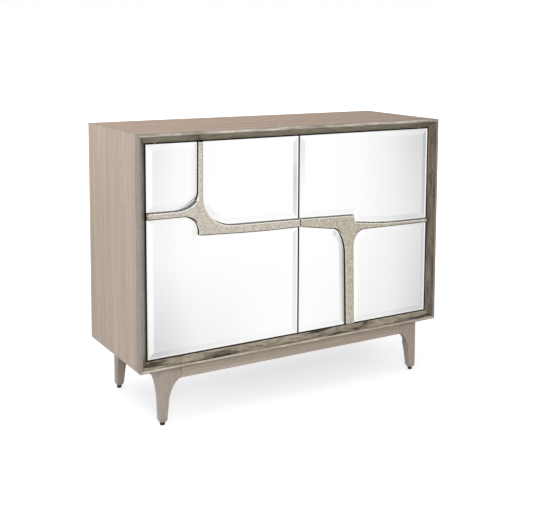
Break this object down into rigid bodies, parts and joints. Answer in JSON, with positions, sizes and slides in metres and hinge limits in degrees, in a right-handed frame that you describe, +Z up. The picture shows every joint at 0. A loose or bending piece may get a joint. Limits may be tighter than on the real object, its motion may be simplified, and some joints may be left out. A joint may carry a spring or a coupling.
{
  "type": "two-door cabinet",
  "caption": "Low cabinet on flared legs: mitred wooden case, deep silver-leaf frame, and inset mirrored doors crossed by a branching cast-metal overlay.",
  "frame": {"origin": "on the floor, under the middle of the cabinet", "axes": "+X to the cabinet's right as seen from its front, +Y towards its back, +Z up"},
  "size_m": [1.219, 0.457, 0.974],
  "materials": {
    "case_veneer": "limed veneer, satin lacquer",
    "base_wood": "limed solid wood, satin lacquer",
    "back_board": "stained board",
    "raw_hardwood": "unfinished",
    "silver_leaf": "antiqued silver leaf, rubbed",
    "door_board": "dark paint",
    "mirror_glass": "bevelled, silvered behind",
    "cast_metal": "hammered champagne, rubbed",
    "plated_steel": "zinc plated",
    "brass": "turned",
    "black_plastic": "moulded"
  },
  "bodies": {
    "case": {"top_panel": "case_veneer", "bottom_panel": "case_veneer", "left_panel": "case_veneer", "right_panel": "case_veneer", "back_panel": "back_board", "centre_partition": "case_veneer", "left_shelf": "case_veneer", "right_shelf": "case_veneer", "left_outer_front_shelf_pin": "plated_steel", "left_outer_rear_shelf_pin": "plated_steel", "left_inner_front_shelf_pin": "plated_steel", "left_inner_rear_shelf_pin": "plated_steel", "right_outer_front_shelf_pin": "plated_steel", "right_outer_rear_shelf_pin": "plated_steel", "right_inner_front_shelf_pin": "plated_steel", "right_inner_rear_shelf_pin": "plated_steel", "frame_top": "silver_leaf", "frame_bottom": "silver_leaf", "frame_left": "silver_leaf", "frame_right": "silver_leaf", "front_rail": "base_wood", "rear_rail": "base_wood", "left_rail": "base_wood", "right_rail": "base_wood", "front_left_leg": "base_wood", "front_right_leg": "base_wood", "rear_right_leg": "base_wood", "rear_left_leg": "base_wood", "front_left_corner_block": "raw_hardwood", "front_right_corner_block": "raw_hardwood", "rear_right_corner_block": "raw_hardwood", "rear_left_corner_block": "raw_hardwood", "front_left_glide": "black_plastic", "front_right_glide": "black_plastic", "rear_right_glide": "black_plastic", "rear_left_glide": "black_plastic", "left_top_pivot": "plated_steel", "left_bottom_pivot": "plated_steel", "right_top_pivot": "plated_steel", "right_bottom_pivot": "plated_steel", "left_catch": "black_plastic", "right_catch": "black_plastic"},
    "left_door": {"left_door_panel": "door_board", "left_overlay": "cast_metal", "left_upper_outer_mirror": "mirror_glass", "left_upper_inner_mirror": "mirror_glass", "left_lower_mirror": "mirror_glass", "left_top_bush": "brass", "left_bottom_bush": "brass", "left_strike_plate": "plated_steel"},
    "right_door": {"right_door_panel": "door_board", "right_overlay": "cast_metal", "right_upper_mirror": "mirror_glass", "right_lower_inner_mirror": "mirror_glass", "right_lower_outer_mirror": "mirror_glass", "right_top_bush": "brass", "right_bottom_bush": "brass", "right_strike_plate": "plated_steel"}
  },
  "joints": [
    {"name": "left_door_hinge", "type": "hinge", "parent": "case", "child": "left_door", "pos_m": [-0.5385, -0.195, 0.231], "axis": [0, 0, -1], "range_deg": [0, 105]},
    {"name": "right_door_hinge", "type": "hinge", "parent": "case", "child": "right_door", "pos_m": [0.5385, -0.195, 0.231], "axis": [0, 0, 1], "range_deg": [0, 105]}
  ]
}
